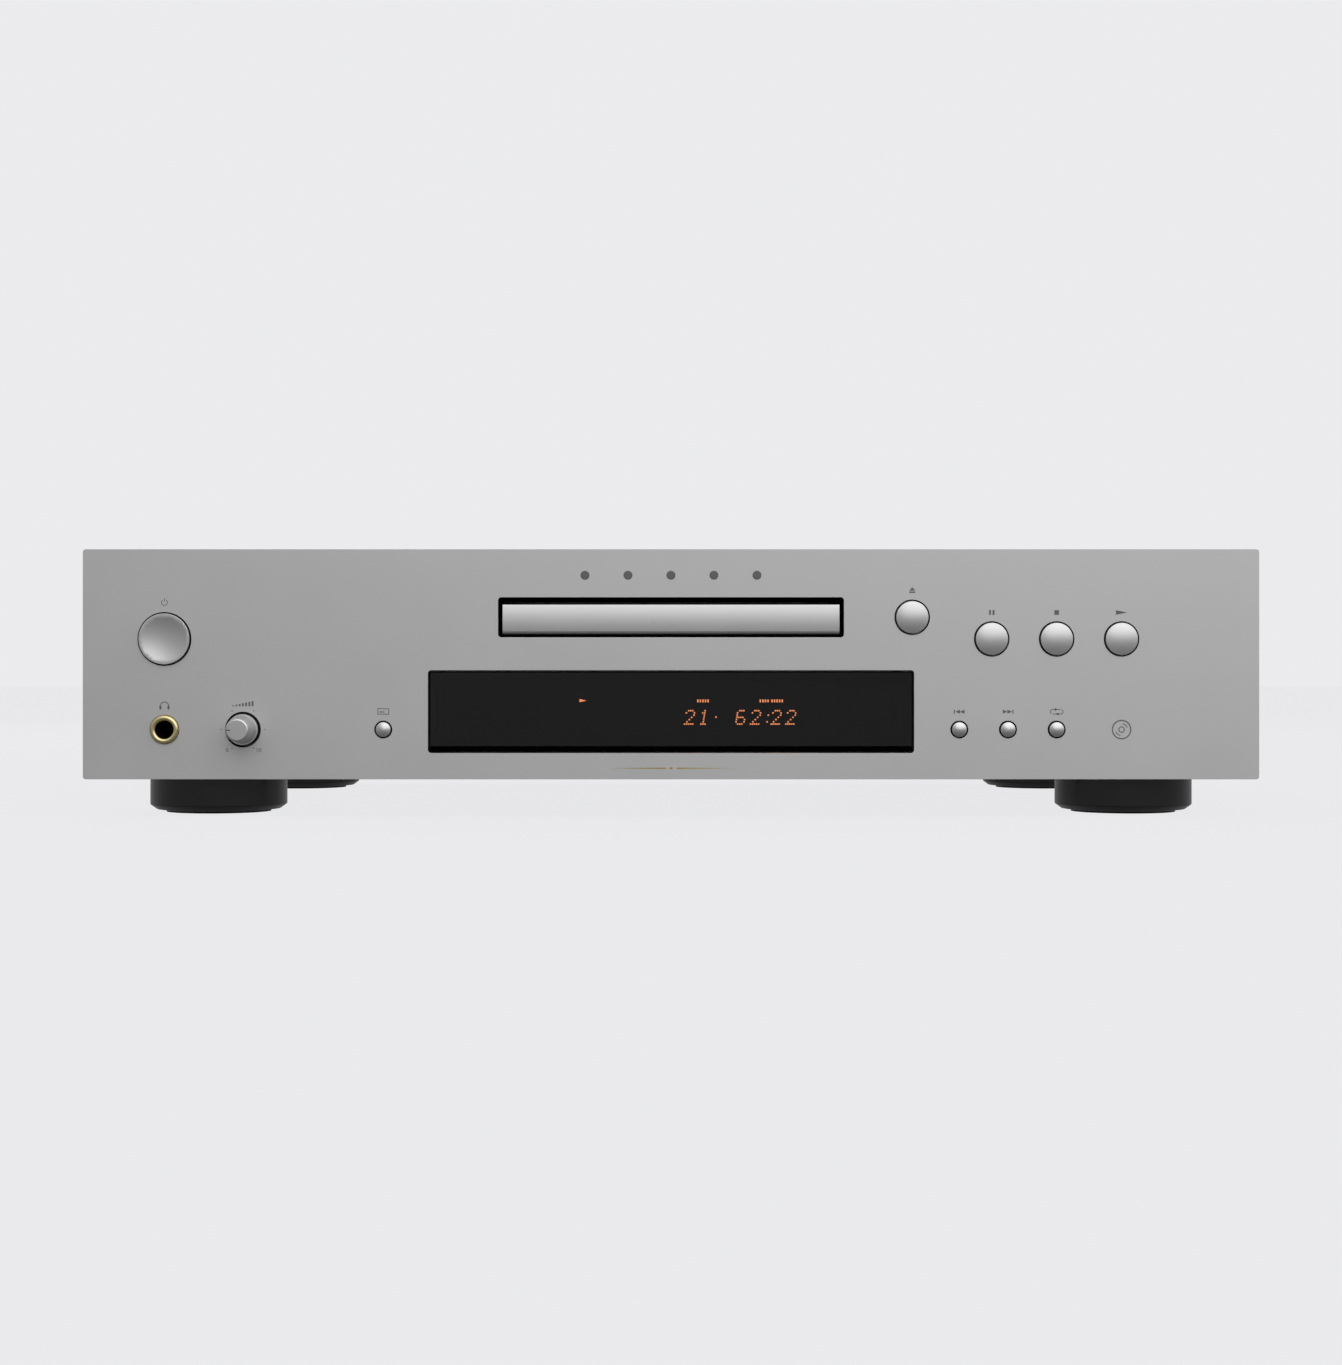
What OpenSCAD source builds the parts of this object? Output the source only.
// Compact-disc player of full hi-fi width, as an assembly of its separate pieces.
// X runs across to the right, Y runs to the back, Z runs up, in millimetres.
// The origin is under the middle of the whole object, on the surface it stands on.

/* [Cabinet] */
// Width of the front panel
panel_w = 435; // [400:1:540]
// Height of the front panel
panel_h = 85.1; // [84:0.1:110]
// Thickness of the front panel
panel_t = 6; // [4:0.5:8]
// Radius of the corners of the front panel
panel_corner = 1.1; // [0.5:0.1:3]
// Depth from the face of the front panel to the back of the cover
body_d = 286; // [280:1:360]
// How far the front panel stands out past the cabinet on each side
side_step = 10.5; // [6:0.5:16]
// Thickness of the folded steel of the cover and the rear panel
sheet_t = 1; // [0.8:0.1:1.5]
// Thickness of the steel of the bottom chassis
chassis_t = 1.2; // [1:0.1:2]
// How far the cover's top lies below the top of the front panel
cover_drop = 0.9; // [0.3:0.1:3]
// Height of the flanges folded up from the bottom chassis
flange_h = 7; // [6.5:0.1:7.4]
// Number of cooling slots in each row of the cover
slot_count = 12; // [4:1:16]

/* [Feet] */
// Height of a foot with its pad
foot_h = 13.8; // [10:0.1:20]
// Radius of a foot
foot_r = 26.2; // [18:0.1:30]
// Distance from the middle to a foot, across
foot_x = 175.8; // [150:0.1:176]
// Distance from the face of the front panel to the front feet
foot_front = 45; // [42:1:60]
// Distance between the front feet and the rear feet
foot_span = 208; // [150:1:210]
// Height of the chamfer round the lower edge of a foot
foot_chamfer_h = 1.9; // [0.5:0.1:3]
// Width of the chamfer round the lower edge of a foot
foot_chamfer_w = 2.6; // [0.5:0.1:4]
// How far a pad stands out below its foot
pad_out = 1; // [0.5:0.1:2]
// Radius of a pad
pad_r = 20; // [12:0.5:22]

/* [Front controls] */
// Distance from the left edge of the panel to the power button
left_column = 30.2; // [25:0.1:40]
// Distance from the phones jack to the level knob
knob_pitch = 29; // [26:0.1:34]
// Distance from the left edge of the panel to the display button
display_button_in = 111.1; // [108:0.1:116]
// Distance from the right edge of the panel to the play button
right_column = 50.9; // [44:0.1:60]
// Distance between the play, stop and pause buttons
transport_pitch = 24; // [20:0.1:28]
// Distance from the pause button to the eject button
eject_pitch = 29.4; // [26:0.1:32]
// Distance between the previous, next and repeat buttons
skip_pitch = 18; // [12:0.1:20]
// Distance from the top of the panel to the row of large buttons
top_row = 33.2; // [30:0.1:36]
// Distance from the top of the panel to the eject button
eject_row = 25.2; // [22:0.1:28]
// Distance from the bottom of the panel to the row of small buttons
low_row = 18.4; // [16:0.1:22]
// Radius of the power button
power_r = 9.4; // [8:0.1:11]
// Radius of a large button
large_r = 6; // [5:0.1:7]
// Radius of a small button
small_r = 2.75; // [2.2:0.05:3.5]
// Gap round the power and small buttons
button_gap = 0.55; // [0.35:0.05:0.8]
// How far a large button stands out
large_out = 1.6; // [1:0.1:3]
// How far a small button stands out
small_out = 1.3; // [0.8:0.1:2.5]
// How far the power button stands out
power_out = 1.2; // [0.8:0.1:3]
// Travel of a button that works a small switch
button_travel = 0.8; // [0.4:0.1:1.2]
// Travel of the power button
power_travel = 2.5; // [1.5:0.1:3]
// How far the level knob stands out
knob_out = 12.4; // [10:0.1:16]
// Radius of the level knob at the panel
knob_r = 5.7; // [5:0.1:6]
// Radius of the level knob's face
knob_face_r = 4.3; // [3.8:0.1:5]
// Radius of the level control's shaft
shaft_r = 3; // [2.5:0.1:3.2]
// Radius of the bore that takes a 6.35 mm plug
jack_bore_r = 3.25; // [3.2:0.01:3.3]
// Radius of the ring round the phones jack
jack_ring_r = 5.3; // [4.8:0.1:6]

/* [Display] */
// Width of the display window
window_w = 179.8; // [160:0.1:182]
// Height of the display window
window_h = 30.6; // [26:0.1:32]
// Distance from the bottom of the panel to the display window
window_low = 9.7; // [8:0.1:12]
// Thickness of the display window
window_t = 2.5; // [2:0.1:3]

/* [Disc drawer] */
// Radius of a disc
disc_r = 60; // [60:0.1:60]
// Distance from the top of the panel to the drawer's opening
drawer_drop = 17.8; // [16:0.1:20]
// Height of the drawer's opening
opening_h = 14.8; // [14.4:0.1:16]
// Height of the drawer's front
door_h = 11.1; // [10.8:0.1:11.4]
// Travel of the drawer
drawer_travel = 130; // [110:1:134]
// Rise of the disc motor and pickup to meet the disc
lift_travel = 7; // [6.4:0.1:7.4]
// Travel of the pickup
sled_travel = 34; // [30:1:35]
// Thickness of the wall at the side of the disc's recess
tray_wall = 1.4; // [1.2:0.1:3]
// Length of the drawer behind the middle of the disc
tray_tail = 100; // [94:1:104]

/* [Rear sockets] */
// How far the audio sockets stand out at the back
socket_out = 8.6; // [8:0.1:12]
// Radius of an audio socket's sleeve
sleeve_r = 4.15; // [4.1:0.01:4.2]
// Radius of the bore that takes a plug's 3.2 mm centre pin
pin_bore_r = 1.65; // [1.63:0.01:1.7]
// Radius of the bore that takes a 3.5 mm plug
mini_bore_r = 1.8; // [1.78:0.01:1.85]

/* [Fits] */
// Gap between flat pieces that slide past each other
slide_gap = 0.25; // [0.2:0.05:0.4]
// Gap round a gear or shaft that turns on a pin
running_gap = 0.05; // [0.03:0.01:0.08]
// Gap round a piece that is fixed in an opening
seat_gap = 0.15; // [0.1:0.05:0.3]
// Gap round a screw in the sheet it passes through
screw_gap = 0.3; // [0.2:0.05:0.4]

/* [Hidden] */
$fn = 48;

// Frame of the whole object
overall_d = knob_out + body_d + socket_out;
front_y = knob_out - overall_d / 2;
rear_y = front_y + body_d;
base_z = foot_h;
panel_lift = 0.3;
panel_low = base_z + panel_lift;
panel_top = panel_low + panel_h;
body_w = panel_w - 2 * side_step;
cover_top = panel_top - cover_drop;
floor_z = base_z + chassis_t;

// Layers behind the front panel
carrier_t = 3;
carrier_inset = 4.5;
carrier_y = front_y + panel_t;
carrier_back = carrier_y + carrier_t;
board_t = 1.6;
front_board_y = carrier_back + 7;
cover_front = carrier_back + slide_gap;
loader_front = front_board_y + 4;

// Places of the front controls
power_x = left_column - panel_w / 2;
knob_x = power_x + knob_pitch;
display_button_x = display_button_in - panel_w / 2;
play_x = panel_w / 2 - right_column;
stop_x = play_x - transport_pitch;
pause_x = stop_x - transport_pitch;
eject_x = pause_x - eject_pitch;
repeat_x = stop_x;
next_x = repeat_x - skip_pitch;
previous_x = next_x - skip_pitch;
large_z = panel_top - top_row;
eject_z = panel_top - eject_row;
small_z = panel_low + low_row;
large_buttons = [[eject_x, eject_z], [pause_x, large_z], [stop_x, large_z], [play_x, large_z]];
small_buttons = [[display_button_x, small_z], [previous_x, small_z], [next_x, small_z],
                 [repeat_x, small_z]];

// Button pieces
large_hole_r = large_r + button_gap;
small_hole_r = small_r + button_gap;
power_hole_r = power_r + button_gap;
collar_t = 1.6;
collar_w = 1.6;
dome_h = 0.9;
switch_body = 6;
plunger_r = 1.75;
plunger_h = 1;
rest_play = 0.1;
plunger_y = carrier_back + collar_t + button_travel + rest_play;
power_switch_l = 16;
power_switch_w = 14;
power_switch_h = 2 * (power_r + collar_w + 0.8);
power_switch_y = carrier_back + 2 * collar_t + power_travel + rest_play;
arm_t = 1.5;

// Level control and phones jack
knob_hole_r = knob_r + 0.9;
knob_skirt = 1.4;
knob_edge = 0.8;
knob_seat = 3;
knob_bore_depth = 9;
mark_l = 1.5;
mark_w = 0.4;
mark_deep = 0.3;
bush_r = 4.5;
bush_out = 2;
pot_r = 8.5;
control_y = carrier_back + 2.2;
control_board_y = carrier_back + 13;
phones_board_z = small_z - pot_r - 2;
ring_out = 1.2;
jack_w = 13;
jack_l = 30;
jack_wall = 1.5;
jack_lead = 0.05;

// Display window and the glass behind it
window_z = panel_low + window_low + window_h / 2;
window_recess = 0.4;
window_ledge = 5;
glass_w = 112;
glass_h = 22;
glass_x = 6;
sensor_x = 7;
post_x = [-75, 70, play_x + 18];
post_z = window_z + window_h / 2 + 2;
post_r = 2.5;
sensor_size = 6;

// Disc drawer, in height
opening_top = panel_top - drawer_drop;
opening_low = opening_top - opening_h;
opening_z = (opening_top + opening_low) / 2;
bezel_wall = 0.6;
door_low = opening_low + 1.05;
door_top = door_low + door_h;
rim_z = door_top - 0.6;
dish_z = rim_z - 4.2;
small_dish_z = dish_z - 1.8;
tray_low = small_dish_z - 1.8;
rack_low = door_low + 0.2;
disc_t = 1.2;
cone_h = 2.1;

// Disc drawer, in plan
dish_r = disc_r + 0.6;
small_dish_r = 40.6;
tray_w = 2 * (dish_r + tray_wall);
door_w = tray_w + 0.8;
opening_w = door_w + 3.1;
door_y = front_y + 0.3;
door_t = 3.7;
tray_front = door_y + door_t;
tray_nose = panel_t - 3;
disc_y = tray_front + tray_nose + dish_r;
tray_back = disc_y + tray_tail;
slot_w = 52;
slot_front = 18;
tail_bar = 9;
tail_bar_low = dish_z - 1;

// Loader
guide_x = tray_w / 2 + slide_gap;
loader_wall = 3;
loader_half = guide_x + loader_wall;
loader_back = tray_back + 10;
loader_low = rim_z - 31;
loader_top = rim_z + 1.6;
deck_z = rim_z - 18.6;
deck_t = 2.2;
deck_top = deck_z + deck_t;
leg = 10;
ledge_w = 4;
ledge_t = 2.2;
ledge_z = rack_low + 1.2;
tab_w = 1.2;
tab_l = 14;
bridge_z = rim_z + 2.1;
bridge_t = 1.2;
bridge_l = 40;
clamper_r = 16;
clamper_neck_r = 13.2;
clamper_low = rim_z + 0.6;

// Gears with straight-sided teeth of module 1, thinned to run free
tooth = 1;
tooth_pitch = PI * tooth;
tip_h = 0.85;
root_h = 1.15;
pinion_teeth = 16;
wheel_teeth = 24;
small_teeth = 10;
sled_teeth = 12;
pinion_r = pinion_teeth * tooth / 2;
wheel_r = wheel_teeth * tooth / 2;
small_pinion_r = small_teeth * tooth / 2;
sled_pinion_r = sled_teeth * tooth / 2;
rack_body = 2.4;
rack_x = 4.4 + rack_body + root_h - guide_x + slide_gap;
tray_gear_x = rack_x + pinion_r;
gear_y = loader_front + wheel_r + 1.1;
pulley_gear_x = tray_gear_x + wheel_r + small_pinion_r;
motor_x = 22;
gear_pin_r = 1.5;
motor_shaft_r = 1;
wheel_low = deck_top + 0.4;
wheel_top = wheel_low + 3;
belt_low = wheel_top + 1.8;
belt_h = 1.6;
belt_t = 1;
belt_gap = 0.25;
pulley_top = belt_low + belt_h + 0.9;
pulley_r = 7.4;
pulley_groove_r = 6.6;
motor_pulley_r = 3.6;
motor_groove_r = 2.8;
loading_motor_r = 6.5;

// Traverse with the disc motor and the pickup, lowered
seat_z = clamper_low - 0.3 - disc_t - lift_travel;
turntable_r = 14.5;
turntable_t = 3;
spindle_motor_r = 11;
base_t = 2.5;
base_low = seat_z - 13.3;
base_top = base_low + base_t;
base_left = 31;
base_right = 37;
base_front = disc_y - 22;
base_back = disc_y + 92;
rod_r = 1.5;
rod_block = 2.6;
rod_x = 13;
rod_z = base_top + 3.5;
rod_front = disc_y + 10;
rod_back = disc_y + 80;
pickup_left = 19;
pickup_right = 17;
pickup_y = disc_y + 15.5;
pickup_l = 18;
pickup_low = base_top + 0.7;
pickup_top = pickup_low + 6.6;
lens_r = 2;
lens_top = seat_z - 1.7;
sled_rack_l = 38.5;
sled_rack_w = 2;
sled_rack_h = 2.5;
sled_gear_x = pickup_right + sled_rack_w + sled_pinion_r;
sled_gear_y = pickup_y + sled_rack_l - 2;
sled_motor_r = 9;
lift_pin_r = 1.5;
lift_pin_y = base_back - 4;
lift_pins = [4 - base_left, base_right - 4];
lift_boss = 6;

// Cam that lifts the traverse
cam_ratio = 10 / 7;
cam_t = 3;
cam_y = base_front - 1 - cam_t;
cam_low = base_low - 3;
cam_top = cam_low + 14.5;
cam_half = 34;
cam_pin_x = 20;
cam_pin_z = base_low + base_t / 2;
cam_pin_r = 1.2;
cam_slot_r = cam_pin_r + 0.35;

// Screws
m3_r = 1.5;
m3_head_r = 2.9;
m3_head_h = 2;
m3_l = 7;
sink_r = 2.8;
sink_h = chassis_t - 0.1;
sink_gap = 0.1;
m4_r = 2;
m4_head_r = 3.9;
m4_head_h = 2.6;
feet = [[-foot_x, front_y + foot_front], [foot_x, front_y + foot_front],
        [-foot_x, front_y + foot_front + foot_span], [foot_x, front_y + foot_front + foot_span]];
cover_screw_y = [cover_front + 30, rear_y - 40];
rear_screw_x = [-150, 0, 150];
rear_screw_z = cover_top - 7;
panel_screw_x = [-190, -60, 60, 190];
front_screw_x = [-130, -45, 45, 130];
front_screw_l = 4.2;
panel_screw_z = floor_z + flange_h / 2;
loader_screws = [for (sx = [-1, 1], y = [loader_front + leg / 2, loader_back - leg / 2])
                 [sx * (loader_half - leg / 2), y]];

// Circuit boards and what stands on the chassis
standoff_h = 6;
standoff_r = 3;
inner_board_z = floor_z + standoff_h;
power_board_w = 100;
power_board_l = 96;
power_board_x = 12 - body_w / 2;
power_board_y = front_y + 70;
audio_board_w = 124;
audio_board_l = 110;
audio_board_x = body_w / 2 - 12 - audio_board_w;
audio_board_y = rear_y - 6 - audio_board_l;
board_inset = 5;
transformer_x = 52 - body_w / 2;
transformer_y = rear_y - 62;
core_w = 66;
core_l = 40;
core_h = 55;
coil_w = 42;
coil_l = 62;
coil_h = 30;

// Rear sockets
back_face = rear_y - sheet_t;
socket_deep = 12;
socket_low = inner_board_z + board_t;
audio_x = body_w / 2 - 39;
audio_low_z = floor_z + 22;
audio_pitch = 18;
coaxial_x = audio_x - 30;
optical_x = coaxial_x - 18;
optical_w = 9.7;
mini_x = optical_x - 16;
mini_pitch = 12;
mini_bush_r = 3;
mini_bush_out = 1.6;
inlet_x = 38 - body_w / 2;
inlet_z = floor_z + 36;
inlet_w = 20;
inlet_h = 12;
inlet_deep = 18;
inlet_flange = 3;
inlet_pin_pitch = 8.6;
inlet_lobe_r = 4;

// A flat shape drawn across and up, made solid between two depths
module facing(near, far) {
    translate([0, far, 0]) rotate([90, 0, 0]) linear_extrude(far - near) children();
}

// A flat shape drawn in plan, made solid between two heights
module standing(low, high) {
    translate([0, 0, low]) linear_extrude(high - low) children();
}

// A box between two opposite corners
module block(a, b) {
    translate(a) cube(b - a);
}

// A rectangle with round corners about its middle
module rounded(w, h, r) {
    square([w - 2 * r, h], center = true);
    square([w, h - 2 * r], center = true);
    for (sx = [-1, 1], sy = [-1, 1])
        translate([sx * (w / 2 - r), sy * (h / 2 - r)]) circle(r);
}

// A slot with round ends about its middle, lying across
module slot(l, r) {
    square([l - 2 * r, 2 * r], center = true);
    for (sx = [-1, 1]) translate([sx * (l / 2 - r), 0]) circle(r);
}

// An upright round bar and one that runs to the back
module upright(x, y, low, high, r) {
    translate([x, y, low]) cylinder(h = high - low, r = r);
}
module lengthways(x, z, near, far, r) {
    translate([x, near, z]) rotate([-90, 0, 0]) cylinder(h = far - near, r = r);
}

// Teeth round a gear, with one tooth pointing along X unless it is turned
function gear_outline(teeth) = [
    for (i = [0 : teeth - 1], corner = [[-0.27, -root_h], [-0.13, tip_h], [0.13, tip_h],
                                        [0.27, -root_h]])
        let (a = 360 * (i + corner[0]) / teeth, r = teeth * tooth / 2 + corner[1])
        [r * cos(a), r * sin(a)]
];
module gear(teeth, low, high, turn = 0) {
    standing(low, high) rotate(turn) polygon(gear_outline(teeth));
}

// A rack along Y from its pitch line, with a gap where a gear's tooth points and teeth to +X
module rack(back, length, gap_at) {
    first = ceil((-gap_at) / tooth_pitch);
    last = floor((length - gap_at) / tooth_pitch) - 1;
    translate([-root_h - back, 0]) square([back, length]);
    for (i = [first : last])
        translate([0, gap_at + (i + 0.5) * tooth_pitch])
            polygon([[-root_h - 0.01, -0.33 * tooth_pitch], [tip_h, -0.12 * tooth_pitch],
                     [tip_h, 0.12 * tooth_pitch], [-root_h - 0.01, 0.33 * tooth_pitch]]);
}

// ---- Front ----

module panel_openings(grow = 0) {
    translate([power_x, large_z]) circle(power_hole_r + grow);
    translate([knob_x, small_z]) circle(knob_hole_r + grow);
    for (p = large_buttons) translate(p) circle(large_hole_r + grow);
    for (p = small_buttons) translate(p) circle(small_hole_r + grow);
}

module front_panel() {
    color("silver") facing(front_y, carrier_y) difference() {
        translate([0, panel_low + panel_h / 2]) rounded(panel_w, panel_h, panel_corner);
        panel_openings();
        translate([power_x, small_z]) circle(jack_ring_r + seat_gap);
        translate([0, opening_z]) rounded(opening_w, opening_h, 1.2);
        translate([0, window_z]) rounded(window_w, window_h, 1.2);
    }
}

module front_carrier() {
    color("dimgray") {
        facing(carrier_y, carrier_back) difference() {
            translate([0, panel_low + panel_h / 2])
                rounded(panel_w - 2 * carrier_inset, panel_h - 4, 2);
            panel_openings();
            translate([power_x, small_z]) circle(bush_r + seat_gap);
            translate([0, opening_z]) rounded(opening_w, opening_h, 1.2);
            translate([0, window_z])
                rounded(window_w - 2 * window_ledge, window_h - window_ledge, 1);
            for (x = front_screw_x) translate([x, panel_screw_z]) circle(m3_r + running_gap);
        }
        // Posts that carry the front circuit board, and arms that hold the power switch
        for (x = post_x) lengthways(x, post_z, carrier_back, front_board_y, post_r);
        for (sz = [-1, 1]) translate([power_x, 0, large_z + sz * (power_switch_h + arm_t) / 2])
            block([-power_switch_w / 2, carrier_back, -arm_t / 2],
                  [power_switch_w / 2, power_switch_y + power_switch_l, arm_t / 2]);
    }
}

// Black lining of the drawer's opening, with a rim behind the carrier
module tray_bezel() {
    inner_w = opening_w - 2 * (bezel_wall + seat_gap);
    inner_h = opening_h - 2 * (bezel_wall + seat_gap);
    color("black") translate([0, 0, opening_z]) {
        facing(front_y + 0.3, carrier_back) difference() {
            rounded(opening_w - 2 * seat_gap, opening_h - 2 * seat_gap, 1.05);
            rounded(inner_w, inner_h, 0.45);
        }
        facing(carrier_back, carrier_back + 1.6) difference() {
            rounded(opening_w + 3, opening_h + 3, 1.2);
            rounded(inner_w, inner_h, 0.45);
        }
    }
}

module display_window() {
    color("black") facing(front_y + window_recess, front_y + window_recess + window_t)
        translate([0, window_z])
            rounded(window_w - 2 * seat_gap, window_h - 2 * seat_gap, 1.05);
}

// Vacuum display: a glass envelope on its spacer, with the exhaust tip at one end
module display_module() {
    near = carrier_back + 0.4;
    color("darkslategray") {
        facing(near, near + 5) translate([glass_x, window_z]) square([glass_w, glass_h], center = true);
        facing(near + 5, front_board_y) translate([glass_x, window_z])
            square([glass_w - 6, glass_h - 6], center = true);
        translate([glass_x + glass_w / 2, near + 2.5, window_z]) rotate([0, 90, 0])
            cylinder(h = 5, r = 1.6);
    }
}

module front_board() {
    x0 = display_button_x - 14;
    x1 = play_x + 26;
    color("darkgreen") facing(front_board_y, front_board_y + board_t) union() {
        translate([x0, panel_low + 3]) square([x1 - x0, window_low + window_h + 2]);
        translate([opening_w / 2 + 6, panel_low + 3])
            square([x1 - opening_w / 2 - 6, eject_z + 10 - panel_low - 3]);
    }
}

module tact_switch(x, z) {
    color("black") {
        block([x - switch_body / 2, plunger_y + plunger_h, z - switch_body / 2],
              [x + switch_body / 2, front_board_y, z + switch_body / 2]);
        lengthways(x, z, plunger_y, plunger_y + plunger_h, plunger_r);
    }
}

module front_switches() {
    for (p = concat(large_buttons, small_buttons)) tact_switch(p[0], p[1]);
    color("black") translate([power_x, 0, large_z])
        block([-power_switch_w / 2, power_switch_y, -power_switch_h / 2],
              [power_switch_w / 2, power_switch_y + power_switch_l, power_switch_h / 2]);
}

// Receiver for the remote control, behind the left end of the display window
module remote_sensor() {
    x = sensor_x - window_w / 2 + window_ledge;
    color("black") {
        block([x - sensor_size / 2, carrier_back + 1.5, window_z - sensor_size / 2],
              [x + sensor_size / 2, front_board_y, window_z + sensor_size / 2]);
        lengthways(x, window_z, carrier_back + 0.3, carrier_back + 1.5, 2.4);
    }
}

// A round button with a domed face, and a collar behind the carrier that keeps it in
module domed_button(x, z, r, out) {
    dome_r = (r * r + dome_h * dome_h) / (2 * dome_h);
    depth = out + panel_t + carrier_t;
    color("gainsboro") translate([x, front_y - out, z]) rotate([-90, 0, 0]) rotate_extrude() {
        intersection() {
            translate([0, dome_r]) circle(dome_r, $fn = 96);
            square([r, depth]);
        }
        translate([0, depth]) square([r + collar_w, collar_t]);
    }
}

// The power button is dished, with a flat rim
module power_button() {
    rim = 0.6;
    dish = 0.9;
    r = power_r - rim;
    dish_ball = (r * r + dish * dish) / (2 * dish);
    color("gainsboro") {
        difference() {
            lengthways(power_x, large_z, front_y - power_out, carrier_back, power_r);
            translate([power_x, front_y - power_out + dish - dish_ball, large_z])
                sphere(r = dish_ball, $fn = 96);
        }
        lengthways(power_x, large_z, carrier_back, carrier_back + collar_t, power_r + collar_w);
        lengthways(power_x, large_z, carrier_back + collar_t, carrier_back + 2 * collar_t, 4);
    }
}

module eject_button() { domed_button(eject_x, eject_z, large_r, large_out); }
module pause_button() { domed_button(pause_x, large_z, large_r, large_out); }
module stop_button() { domed_button(stop_x, large_z, large_r, large_out); }
module play_button() { domed_button(play_x, large_z, large_r, large_out); }
module previous_button() { domed_button(previous_x, small_z, small_r, small_out); }
module next_button() { domed_button(next_x, small_z, small_r, small_out); }
module repeat_button() { domed_button(repeat_x, small_z, small_r, small_out); }
module display_button() { domed_button(display_button_x, small_z, small_r, small_out); }

// Tapered knob with a skirt, a rounded face edge and a mark that points left at rest
module level_knob() {
    back = knob_out + knob_seat;
    color("gainsboro") translate([knob_x, front_y - knob_out, small_z]) difference() {
        rotate([-90, 0, 0]) rotate_extrude() {
            polygon([[0, 0], [knob_face_r - knob_edge, 0], [knob_face_r, knob_edge],
                     [knob_r - 0.5, knob_out - knob_skirt], [knob_r, knob_out - knob_skirt],
                     [knob_r, back], [0, back]]);
            translate([knob_face_r - knob_edge, knob_edge])
                intersection() {
                    circle(knob_edge);
                    translate([0, -knob_edge]) square(knob_edge);
                }
        }
        rotate([-90, 0, 0]) translate([0, 0, back - knob_bore_depth])
            cylinder(h = knob_bore_depth + 1, r = shaft_r);
        translate([-knob_face_r + 0.4, -1, -mark_w / 2]) cube([mark_l, 1 + mark_deep, mark_w]);
    }
}

module level_shaft() {
    color("silver") lengthways(knob_x, small_z, front_y + knob_seat - knob_bore_depth,
                               control_board_y - 1.5, shaft_r);
}

module level_potentiometer() {
    color("steelblue") difference() {
        union() {
            lengthways(knob_x, small_z, carrier_y + 1, control_y + 1, bush_r);
            lengthways(knob_x, small_z, control_y, control_board_y - 1, pot_r);
            block([knob_x - 6, control_y + 3, phones_board_z], [knob_x + 6, control_board_y, small_z]);
        }
        lengthways(knob_x, small_z, carrier_y, control_board_y - 1.2, shaft_r + running_gap);
    }
}

// Gold-plated ring of the phones jack
module phones_ring() {
    tube = (jack_ring_r - jack_bore_r - jack_lead) / 2;
    color("goldenrod") translate([power_x, 0, small_z]) rotate([-90, 0, 0])
        rotate_extrude() {
            translate([jack_bore_r + jack_lead + tube, front_y - ring_out + tube]) circle(tube);
            translate([jack_bore_r + jack_lead, front_y - ring_out + tube])
                square([2 * tube, carrier_y - front_y + ring_out - tube]);
        }
}

module phones_jack() {
    color("black") difference() {
        union() {
            lengthways(power_x, small_z, carrier_y, control_y + 1, bush_r);
            block([power_x - jack_w / 2, control_y, phones_board_z],
                  [power_x + jack_w / 2, carrier_back + jack_l, small_z + jack_w / 2]);
        }
        lengthways(power_x, small_z, carrier_y - 1, carrier_back + jack_l - jack_wall, jack_bore_r);
    }
}

// Board under the phones jack and the level control, lying flat
module phones_board() {
    color("darkgreen") block([power_x - 10, control_y, phones_board_z - board_t],
                             [knob_x + 12, carrier_back + jack_l + 4, phones_board_z]);
}

// ---- Cabinet ----

// Bottom chassis: floor, folded flanges, raised standoffs and the holes for its screws
module standoffs(x, y, w, l, r, high) {
    for (sx = [board_inset, w - board_inset], sy = [board_inset, l - board_inset])
        upright(x + sx, y + sy, floor_z, high, r);
}

module bottom_chassis() {
    half = body_w / 2 - sheet_t - slide_gap;
    back = back_face - sheet_t;
    color("slategray") difference() {
        union() {
            block([-half, cover_front, base_z], [half, back, floor_z]);
            for (sx = [-1, 1]) translate([sx * (half - chassis_t / 2), 0, 0])
                block([-chassis_t / 2, cover_front, base_z], [chassis_t / 2, back, floor_z + flange_h]);
            block([-half, cover_front, base_z], [half, cover_front + chassis_t, floor_z + flange_h]);
            block([-half, back - chassis_t, base_z], [half, back, floor_z + flange_h]);
            standoffs(power_board_x, power_board_y, power_board_w, power_board_l, standoff_r, inner_board_z);
            standoffs(audio_board_x, audio_board_y, audio_board_w, audio_board_l, standoff_r, inner_board_z);
        }
        standoffs(power_board_x, power_board_y, power_board_w, power_board_l,
                  m3_r + running_gap, inner_board_z + 1);
        standoffs(audio_board_x, audio_board_y, audio_board_w, audio_board_l,
                  m3_r + running_gap, inner_board_z + 1);
        for (p = feet) upright(p[0], p[1], base_z - 1, floor_z + 1, m4_r + running_gap);
        for (p = loader_screws) {
            upright(p[0], p[1], base_z - 1, floor_z + 1, m3_r + screw_gap);
            translate([p[0], p[1], base_z - sink_gap])
                cylinder(h = sink_h + sink_gap, r1 = sink_r + 2 * sink_gap, r2 = m3_r + screw_gap);
        }
        for (x = front_screw_x)
            lengthways(x, panel_screw_z, cover_front - 1, cover_front + 2, m3_r + screw_gap);
        for (x = panel_screw_x) lengthways(x, panel_screw_z, back - 2, back + 1, m3_r + running_gap);
        for (y = cover_screw_y) translate([-half - 1, y, panel_screw_z]) rotate([0, 90, 0])
            cylinder(h = 2 * half + 2, r = m3_r + running_gap);
    }
}

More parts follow.
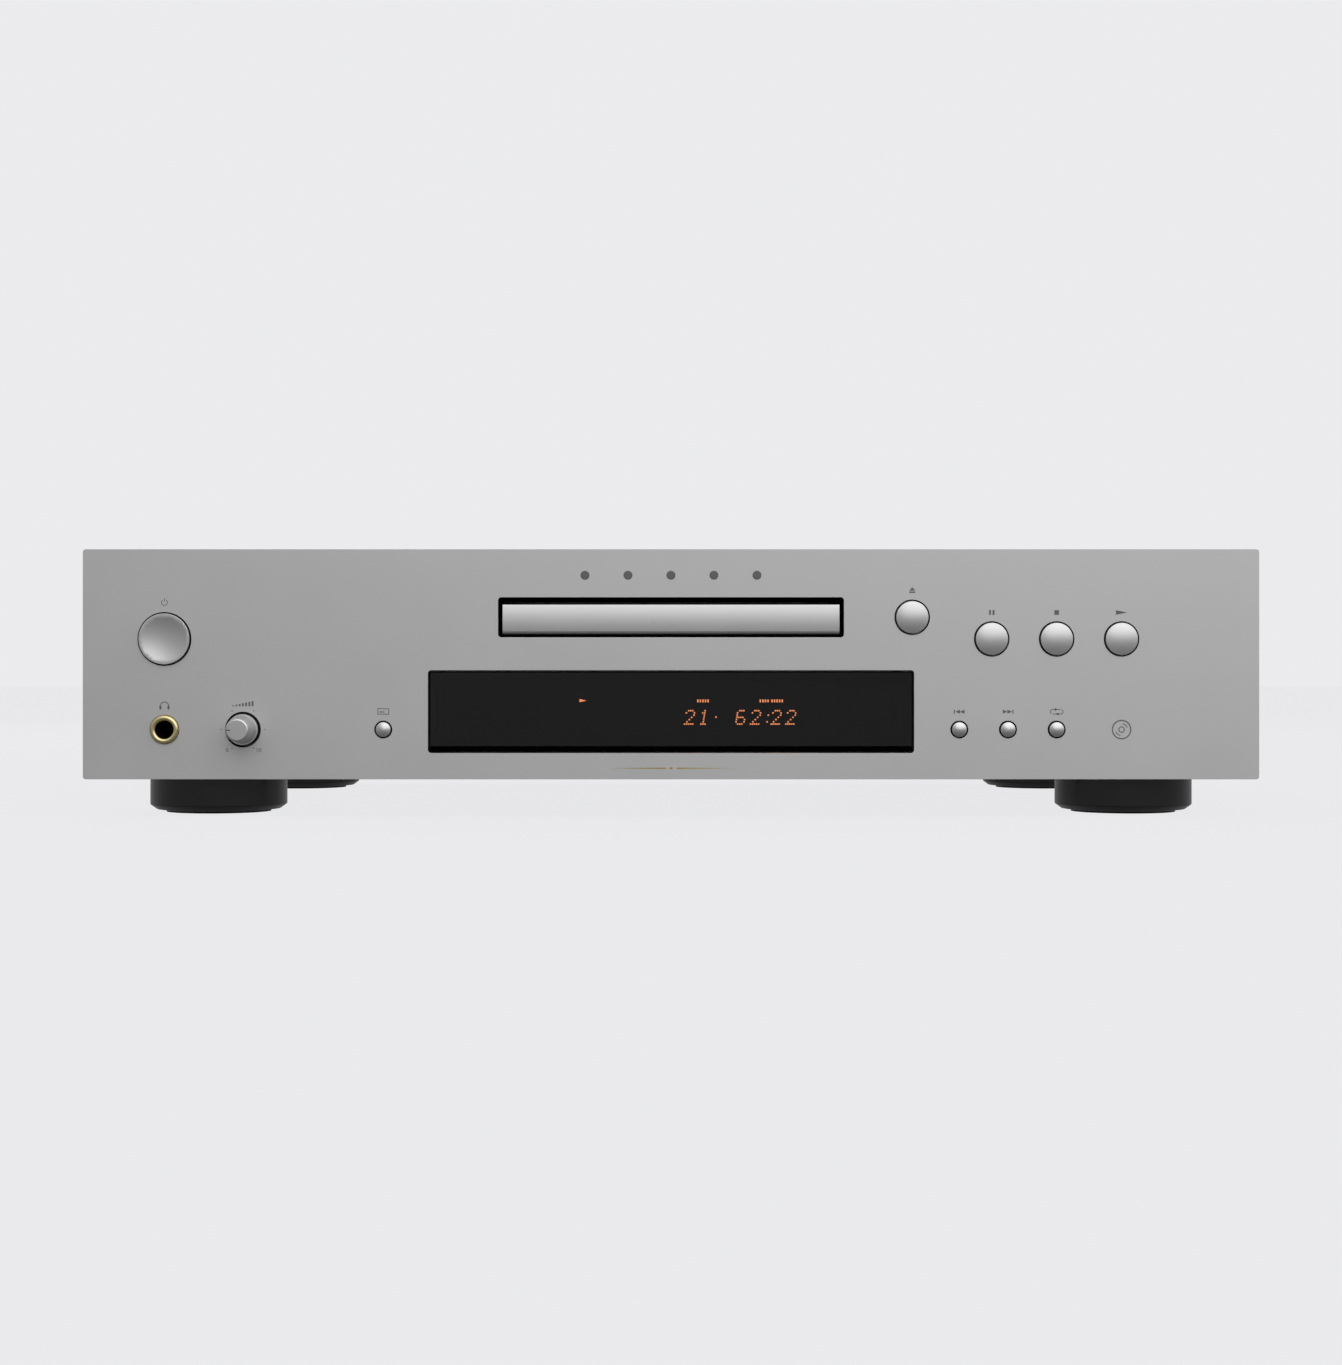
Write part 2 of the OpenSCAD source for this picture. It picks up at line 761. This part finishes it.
module rear_panel() {
    half = body_w / 2 - sheet_t - slide_gap;
    top = cover_top - sheet_t - slide_gap;
    color("slategray") facing(back_face - sheet_t, back_face) difference() {
        translate([-half, base_z]) square([2 * half, top - base_z]);
        for (z = [audio_low_z, audio_low_z + audio_pitch])
            translate([audio_x, z]) circle(sleeve_r + 0.4);
        translate([coaxial_x, audio_low_z]) circle(sleeve_r + 0.4);
        translate([optical_x, audio_low_z]) square(optical_w + 0.4, center = true);
        for (i = [0, 1]) translate([mini_x - i * mini_pitch, audio_low_z]) circle(mini_bush_r + 0.2);
        translate([inlet_x, inlet_z]) square([inlet_w + 0.4, inlet_h + 0.4], center = true);
        for (x = rear_screw_x) translate([x, rear_screw_z]) circle(m3_r + running_gap);
        for (x = panel_screw_x) translate([x, panel_screw_z]) circle(m3_r + screw_gap);
    }
}

// Cover: top with two rows of cooling slots, two sides and a lip down the back
module top_cover() {
    half = body_w / 2;
    slot_l = 44;
    slot_pitch = 8;
    row_w = (slot_count - 1) * slot_pitch;
    color("silver") difference() {
        union() {
            block([-half, cover_front, cover_top - sheet_t], [half, rear_y, cover_top]);
            for (sx = [-1, 1]) translate([sx * (half - sheet_t / 2), 0, 0])
                block([-sheet_t / 2, cover_front, base_z + 0.6], [sheet_t / 2, rear_y, cover_top]);
            block([-half, rear_y - sheet_t, cover_top - 14], [half, rear_y, cover_top]);
        }
        standing(cover_top - 2 * sheet_t, cover_top + 1)
            for (sx = [-1, 1], i = [0 : slot_count - 1])
                translate([sx * (half - 32 - row_w / 2) + i * slot_pitch - row_w / 2, rear_y - 70])
                    rotate(90) slot(slot_l, 1.6);
        for (x = rear_screw_x)
            lengthways(x, rear_screw_z, rear_y - 2, rear_y + 1, m3_r + screw_gap);
        for (y = cover_screw_y) translate([-half - 1, y, panel_screw_z]) rotate([0, 90, 0])
            cylinder(h = 2 * half + 2, r = m3_r + screw_gap);
    }
}

// Foot turned about its screw, with a chamfered lower edge and a recess for the pad
module foot(place) {
    recess = 0.6;
    color("black") translate([place[0], place[1], 0]) difference() {
        rotate_extrude()
            polygon([[0, pad_out], [foot_r - foot_chamfer_w, pad_out],
                     [foot_r, pad_out + foot_chamfer_h], [foot_r, foot_h], [0, foot_h]]);
        cylinder(h = pad_out + recess, r = pad_r + seat_gap);
        cylinder(h = foot_h - 5, r = m4_head_r + 1);
        cylinder(h = foot_h + 1, r = m4_r + screw_gap);
    }
}
module foot_front_left() { foot(feet[0]); }
module foot_front_right() { foot(feet[1]); }
module foot_rear_left() { foot(feet[2]); }
module foot_rear_right() { foot(feet[3]); }

module foot_pads() {
    color("dimgray") for (p = feet) translate([p[0], p[1], 0]) difference() {
        cylinder(h = pad_out + 0.6, r = pad_r);
        translate([0, 0, -1]) cylinder(h = pad_out + 3, r = m4_head_r + 1.5);
    }
}

// A pan-head screw whose head sits on the plane through the origin and whose tip runs to +Z
module cross_recess(head_r, deep) {
    cross_l = 1.1 * head_r;
    cross_w = 0.22 * head_r;
    for (a = [0, 90]) rotate(a)
        translate([-cross_l / 2, -cross_w / 2, -1]) cube([cross_l, cross_w, 1 + deep]);
}
module screw(r, length, head_r, head_h) {
    cylinder(h = length, r = r);
    translate([0, 0, -head_h]) difference() {
        cylinder(h = head_h, r = head_r);
        cross_recess(head_r, head_h / 2);
    }
}
module m3_screw(length = m3_l) { screw(m3_r, length, m3_head_r, m3_head_h); }

// A countersunk screw that lies flush in the underside of the chassis
module sunk_screw() {
    difference() {
        rotate_extrude()
            polygon([[0, 0], [sink_r, 0], [m3_r, sink_h], [m3_r, m3_l], [0, m3_l]]);
        cross_recess(m3_head_r, sink_h / 2);
    }
}

module foot_screws() {
    color("silver") for (p = feet) translate([p[0], p[1], foot_h - 5])
        screw(m4_r, 5 + chassis_t + 3, m4_head_r, m4_head_h);
}

module cover_screws() {
    color("black") {
        for (x = rear_screw_x) translate([x, rear_y, rear_screw_z]) rotate([90, 0, 0]) m3_screw();
        for (sx = [-1, 1], y = cover_screw_y)
            translate([sx * body_w / 2, y, panel_screw_z]) rotate([0, -90 * sx, 0]) m3_screw();
    }
}

module chassis_screws() {
    color("silver") {
        for (x = panel_screw_x)
            translate([x, back_face, panel_screw_z]) rotate([90, 0, 0]) m3_screw();
        for (x = front_screw_x)
            translate([x, cover_front + chassis_t, panel_screw_z]) rotate([90, 0, 0]) m3_screw(front_screw_l);
        for (p = loader_screws) translate([p[0], p[1], base_z]) sunk_screw();
        for (sx = [board_inset, power_board_w - board_inset], sy = [board_inset, power_board_l - board_inset])
            translate([power_board_x + sx, power_board_y + sy, inner_board_z + board_t])
                rotate([180, 0, 0]) m3_screw();
        for (sx = [board_inset, audio_board_w - board_inset], sy = [board_inset, audio_board_l - board_inset])
            translate([audio_board_x + sx, audio_board_y + sy, inner_board_z + board_t])
                rotate([180, 0, 0]) m3_screw();
    }
}

// ---- Disc loader ----

module loader_frame() {
    beam_low = cam_low - slide_gap - 3.5;
    color("dimgray") difference() {
        union() {
            // Side walls with the ledges the drawer runs on and the tabs that keep it down
            for (side = [0, 1]) mirror([side, 0, 0]) {
                block([guide_x, loader_front, loader_low], [loader_half, loader_back, loader_top]);
                block([guide_x - ledge_w, loader_front, ledge_z - ledge_t], [guide_x, loader_back, ledge_z]);
                for (y = [loader_front, disc_y + 24, tray_back - 30])
                    block([guide_x - tab_w, y, rim_z + slide_gap], [guide_x, y + tab_l, loader_top]);
                for (y = [loader_front, loader_back - leg])
                    block([loader_half - leg, y, floor_z], [loader_half, y + leg, deck_top]);
            }
            // Front deck with the gears, rear deck, and beams under the cam and the lift pins
            block([-loader_half, loader_front, deck_z], [loader_half, cam_y - 0.3, deck_top]);
            block([-loader_half, base_back + 2, deck_z], [loader_half, loader_back, deck_top]);
            block([-loader_half, cam_y - 1.5, beam_low], [loader_half, base_front, beam_low + 3.5]);
            block([-loader_half, lift_pin_y - 5, loader_low], [loader_half, lift_pin_y + 5, loader_low + 3]);
            for (x = lift_pins) upright(x, lift_pin_y, loader_low, base_top + lift_travel + 3, lift_pin_r);
            upright(tray_gear_x, gear_y, deck_z, tray_low - 0.6, gear_pin_r);
            upright(pulley_gear_x, gear_y, deck_z, pulley_top + 0.6, gear_pin_r);
        }
        upright(motor_x, gear_y, deck_z - 1, deck_top + 1, 4);
        for (p = loader_screws) upright(p[0], p[1], floor_z - 1, floor_z + 8, m3_r + running_gap);
    }
}

// Drawer: recesses for the two sizes of disc, the slot for the pickup, and the rack
module disc_tray() {
    half = tray_w / 2;
    color("black") difference() {
        union() {
            block([-half, tray_front, tray_low], [half, tray_back, rim_z]);
            for (sx = [-1, 1]) translate([sx * (half - 1), 0, 0])
                block([-1, tray_front, ledge_z + slide_gap], [1, tray_back, tray_low]);
            standing(rack_low, tray_low) translate([rack_x, tray_front])
                rack(rack_body, drawer_travel + 26, gear_y - tray_front);
        }
        upright(0, disc_y, dish_z, rim_z + 1, dish_r);
        upright(0, disc_y, small_dish_z, rim_z + 1, small_dish_r);
        block([-slot_w / 2, disc_y - slot_front, tray_low - 1],
              [slot_w / 2, tray_back - tail_bar, rim_z + 1]);
        block([-slot_w / 2, disc_y, tray_low - 1], [slot_w / 2, tray_back + 1, tail_bar_low]);
        // Finger notches in front of the disc and clearance over the tail
        for (sx = [-1, 1]) upright(sx * 38, disc_y - disc_r * 0.72, small_dish_z, rim_z + 1, 12);
        block([-half + 6, disc_y + 52, small_dish_z], [half - 6, tray_back - tail_bar, rim_z + 1]);
    }
}

// The drawer's front, slightly crowned, with a step back along its lower edge
module tray_door() {
    crown = 0.35;
    crown_r = (door_h * door_h / 4 + crown * crown) / (2 * crown);
    step_h = 1.7;
    color("silver") difference() {
        intersection() {
            block([-door_w / 2, door_y, door_low], [door_w / 2, tray_front, door_top]);
            translate([-door_w / 2, door_y + crown_r, door_low + door_h / 2]) rotate([0, 90, 0])
                cylinder(h = door_w, r = crown_r, $fn = 180);
        }
        translate([-door_w / 2 - 1, door_y, door_low + step_h]) rotate([-38, 0, 0])
            translate([0, -4, -6]) cube([door_w + 2, 4, 6]);
    }
}

// Sliding cam: two sloping slots raise the traverse's pins as it moves to the right
module lift_cam() {
    run = lift_travel * cam_ratio;
    slope = atan2(lift_travel, run);
    length = sqrt(run * run + lift_travel * lift_travel);
    color("ivory") facing(cam_y, cam_y + cam_t) difference() {
        translate([-cam_half, cam_low]) square([2 * cam_half, cam_top - cam_low]);
        for (sx = [-1, 1])
            translate([sx * cam_pin_x - run / 2, cam_pin_z + lift_travel / 2])
                rotate(-slope) slot(length + 2 * cam_slot_r, cam_slot_r);
    }
}

module traverse_base() {
    color("silver") difference() {
        union() {
            block([-base_left, base_front, base_low], [base_right, base_back, base_top]);
            for (sx = [-1, 1], y = [rod_front, rod_back - 4])
                block([sx * rod_x - rod_block, y, base_top], [sx * rod_x + rod_block, y + 4, rod_z + 3]);
            for (x = lift_pins) upright(x, lift_pin_y, base_low - 2, base_low - 2 + lift_boss, 3.4);
            for (sx = [-1, 1])
                lengthways(sx * cam_pin_x, cam_pin_z, cam_y + 0.1, base_front + 1, cam_pin_r);
        }
        block([-16, disc_y + 15, base_low - 1], [15, rod_back - 6, base_top + 1]);
        upright(0, disc_y, base_low - 1, base_top + 1, 4);
        upright(sled_gear_x, sled_gear_y, base_low - 1, base_top + 1, 3);
        for (x = lift_pins)
            upright(x, lift_pin_y, base_low - 3, base_top + lift_boss, lift_pin_r + running_gap);
        for (sx = [-1, 1]) lengthways(sx * rod_x, rod_z, rod_front - 1, rod_back + 1, rod_r + 0.02);
    }
}

module turntable() {
    color("black") {
        upright(0, disc_y, seat_z - turntable_t, seat_z, turntable_r);
        translate([0, disc_y, seat_z]) cylinder(h = cone_h, r1 = 7.4, r2 = 6.2);
        upright(0, disc_y, base_top + 1.2, seat_z - turntable_t, motor_shaft_r);
    }
}

module spindle_motor() {
    color("silver") difference() {
        upright(0, disc_y, base_top, seat_z - turntable_t - 0.4, spindle_motor_r);
        upright(0, disc_y, base_top + 1, seat_z, motor_shaft_r + running_gap);
    }
}

// Pickup: body on the two rods, with the rack that the sled gear drives
module pickup() {
    lens_y = pickup_y + pickup_l / 2;
    color("dimgray") difference() {
        union() {
            block([-pickup_left, pickup_y, pickup_low], [pickup_right, pickup_y + pickup_l, pickup_top]);
            block([-9, lens_y - 7, pickup_top], [9, lens_y + 7, lens_top - 0.6]);
            standing(pickup_low, pickup_low + sled_rack_h)
                translate([pickup_right + sled_rack_w, pickup_y])
                    rack(sled_rack_w, sled_rack_l, sled_gear_y - pickup_y);
        }
        for (sx = [-1, 1])
            lengthways(sx * rod_x, rod_z, pickup_y - 1, pickup_y + pickup_l + 1, rod_r + 0.03);
        upright(0, lens_y, pickup_top - 2, lens_top, lens_r + 0.6);
    }
}

module pickup_lens() {
    lens_y = pickup_y + pickup_l / 2;
    color("lightblue") intersection() {
        upright(0, lens_y, pickup_top - 0.8, lens_top, lens_r);
        translate([0, lens_y, lens_top - 4]) sphere(r = 4);
    }
}

module guide_rods() {
    color("silver") for (sx = [-1, 1])
        lengthways(sx * rod_x, rod_z, rod_front, rod_back, rod_r);
}

module sled_motor() {
    color("silver") difference() {
        upright(sled_gear_x, sled_gear_y, base_low - 11, base_low, sled_motor_r);
        upright(sled_gear_x, sled_gear_y, base_low - 9.5, base_low + 1, motor_shaft_r + running_gap);
    }
}

module sled_gear() {
    color("ivory") translate([sled_gear_x, sled_gear_y, 0]) {
        gear(sled_teeth, pickup_low, pickup_low + sled_rack_h);
        upright(0, 0, base_low - 9, pickup_low, motor_shaft_r);
    }
}

module clamper_bridge() {
    color("silver") difference() {
        union() {
            block([-loader_half, disc_y - bridge_l / 2, bridge_z],
                  [loader_half, disc_y + bridge_l / 2, bridge_z + bridge_t]);
            for (sx = [-1, 1]) translate([sx * (loader_half - loader_wall / 2), disc_y, 0])
                block([-loader_wall / 2, -bridge_l / 2, loader_top],
                      [loader_wall / 2, bridge_l / 2, bridge_z]);
        }
        upright(0, disc_y, bridge_z - 1, bridge_z + bridge_t + 1, clamper_neck_r + 0.8);
    }
}

module clamper() {
    top = bridge_z + bridge_t + 0.2;
    color("black") difference() {
        union() {
            upright(0, disc_y, clamper_low, top, clamper_neck_r);
            upright(0, disc_y, top, top + 2, clamper_r);
        }
        upright(0, disc_y, clamper_low - 1, clamper_low + 2.2, 8.5);
    }
}

module loading_motor() {
    color("silver") difference() {
        upright(motor_x, gear_y, deck_z - 15, deck_z, loading_motor_r);
        upright(motor_x, gear_y, deck_z - 13, deck_z + 1, motor_shaft_r + running_gap);
    }
}

module motor_pulley() {
    color("ivory") translate([motor_x, gear_y, 0]) {
        upright(0, 0, deck_z - 12, belt_low - 0.9, motor_shaft_r);
        upright(0, 0, belt_low - 0.9, belt_low - 0.2, motor_pulley_r);
        upright(0, 0, belt_low - 0.2, belt_low + belt_h + 0.2, motor_groove_r);
        upright(0, 0, belt_low + belt_h + 0.2, pulley_top, motor_pulley_r);
    }
}

// Outline of a belt round a large pulley at the origin and a small one along X
function belt_outline(large, small, span) =
    let (lean = acos((large - small) / span), steps = 20)
    concat([for (i = [0 : steps]) let (a = lean + i * (360 - 2 * lean) / steps)
            [large * cos(a), large * sin(a)]],
           [for (i = [0 : steps]) let (a = -lean + i * 2 * lean / steps)
            [span + small * cos(a), small * sin(a)]]);

module drive_belt() {
    span = motor_x - pulley_gear_x;
    large = pulley_groove_r + belt_gap;
    small = motor_groove_r + belt_gap;
    color("black") standing(belt_low, belt_low + belt_h) translate([pulley_gear_x, gear_y])
        difference() {
            polygon(belt_outline(large + belt_t, small + belt_t, span));
            polygon(belt_outline(large, small, span));
        }
}

module pulley_gear() {
    color("ivory") translate([pulley_gear_x, gear_y, 0]) difference() {
        union() {
            gear(small_teeth, wheel_low, wheel_top + 0.4, 180 / small_teeth);
            upright(0, 0, wheel_top + 0.4, belt_low - 0.2, pulley_r);
            upright(0, 0, belt_low - 0.2, belt_low + belt_h + 0.2, pulley_groove_r);
            upright(0, 0, belt_low + belt_h + 0.2, pulley_top, pulley_r);
        }
        upright(0, 0, wheel_low - 1, pulley_top + 1, gear_pin_r + running_gap);
    }
}

module tray_gear() {
    color("ivory") translate([tray_gear_x, gear_y, 0]) difference() {
        union() {
            gear(wheel_teeth, wheel_low, wheel_top);
            upright(0, 0, wheel_top, rack_low - 0.2, 4);
            gear(pinion_teeth, rack_low - 0.2, tray_low - 0.4);
        }
        upright(0, 0, wheel_low - 1, tray_low, gear_pin_r + running_gap);
    }
}

// ---- Electronics ----

// Mains transformer: laminated core, coil and mounting feet
module power_transformer() {
    color("gray") translate([transformer_x, transformer_y, floor_z]) {
        block([-core_w / 2, -core_l / 2, 1.5], [core_w / 2, core_l / 2, core_h + 1.5]);
        block([-coil_w / 2, -coil_l / 2, 14], [coil_w / 2, coil_l / 2, 14 + coil_h]);
        block([-core_w / 2 - 12, -core_l / 2, 0], [core_w / 2 + 12, core_l / 2, 1.5]);
    }
}

module plain_board(x, y, w, l) {
    color("darkgreen") difference() {
        block([x, y, inner_board_z], [x + w, y + l, inner_board_z + board_t]);
        standoffs(x, y, w, l, m3_r + screw_gap, inner_board_z + board_t + 1);
    }
}
module power_board() { plain_board(power_board_x, power_board_y, power_board_w, power_board_l); }
module audio_board() { plain_board(audio_board_x, audio_board_y, audio_board_w, audio_board_l); }

// Audio sockets: a sleeve over an insulator with the bore for the centre pin
module audio_socket(x, z) {
    difference() {
        union() {
            lengthways(x, z, back_face - sheet_t, rear_y + socket_out, sleeve_r);
            block([x - 7, back_face - sheet_t - socket_deep, socket_low],
                  [x + 7, back_face - sheet_t, z + 7]);
        }
        lengthways(x, z, rear_y + socket_out - 10, rear_y + socket_out + 1, pin_bore_r);
        lengthways(x, z, rear_y + socket_out - 6, rear_y + socket_out + 1, sleeve_r - 0.5);
    }
    difference() {
        lengthways(x, z, rear_y + socket_out - 6, rear_y + socket_out, sleeve_r - 0.9);
        lengthways(x, z, rear_y + socket_out - 7, rear_y + socket_out + 1, pin_bore_r);
    }
}

module output_sockets() {
    color("white") for (i = [0, 1]) audio_socket(audio_x, audio_low_z + i * audio_pitch);
}

module digital_sockets() {
    far = back_face + 1.2;
    half = optical_w / 2;
    color("orange") audio_socket(coaxial_x, audio_low_z);
    color("black") difference() {
        union() {
            block([optical_x - half, back_face - sheet_t - socket_deep, audio_low_z - half],
                  [optical_x + half, far, audio_low_z + half]);
            block([optical_x - half, back_face - sheet_t - socket_deep, socket_low],
                  [optical_x + half, back_face - sheet_t, audio_low_z]);
        }
        block([optical_x - 3.2, far - 8, audio_low_z - 3], [optical_x + 3.2, far + 1, audio_low_z + 3]);
    }
}

module remote_sockets() {
    color("black") for (i = [0, 1]) translate([mini_x - i * mini_pitch, 0, 0])
        difference() {
            union() {
                lengthways(0, audio_low_z, back_face - sheet_t, back_face + mini_bush_out, mini_bush_r);
                block([-5, back_face - sheet_t - socket_deep, socket_low],
                      [5, back_face - sheet_t, audio_low_z + 5]);
            }
            lengthways(0, audio_low_z, back_face - sheet_t - socket_deep + 1, rear_y + 3, mini_bore_r);
        }
}

// Two-pin mains inlet in a flanged housing
module mains_inlet() {
    near = back_face - inlet_deep;
    color("black") translate([inlet_x, 0, inlet_z]) {
        difference() {
            union() {
                block([-inlet_w / 2, near, -inlet_h / 2], [inlet_w / 2, back_face, inlet_h / 2]);
                block([-inlet_w / 2 - inlet_flange, back_face, -inlet_h / 2 - inlet_flange],
                      [inlet_w / 2 + inlet_flange, back_face + 2, inlet_h / 2 + inlet_flange]);
            }
            facing(back_face - 10, back_face + 3)
                slot(inlet_pin_pitch + 2 * inlet_lobe_r, inlet_lobe_r);
        }
        for (sx = [-1, 1])
            lengthways(sx * inlet_pin_pitch / 2, 0, back_face - 11, back_face - 1.5, 1.2);
    }
}

front_panel();
front_carrier();
tray_bezel();
display_window();
display_module();
front_board();
front_switches();
remote_sensor();
power_button();
eject_button();
pause_button();
stop_button();
play_button();
previous_button();
next_button();
repeat_button();
display_button();
level_knob();
level_shaft();
level_potentiometer();
phones_ring();
phones_jack();
phones_board();
bottom_chassis();
rear_panel();
top_cover();
foot_front_left();
foot_front_right();
foot_rear_left();
foot_rear_right();
foot_pads();
foot_screws();
cover_screws();
chassis_screws();
loader_frame();
disc_tray();
tray_door();
lift_cam();
traverse_base();
turntable();
spindle_motor();
pickup();
pickup_lens();
guide_rods();
sled_motor();
sled_gear();
clamper_bridge();
clamper();
loading_motor();
motor_pulley();
drive_belt();
pulley_gear();
tray_gear();
power_transformer();
power_board();
audio_board();
output_sockets();
digital_sockets();
remote_sockets();
mains_inlet();
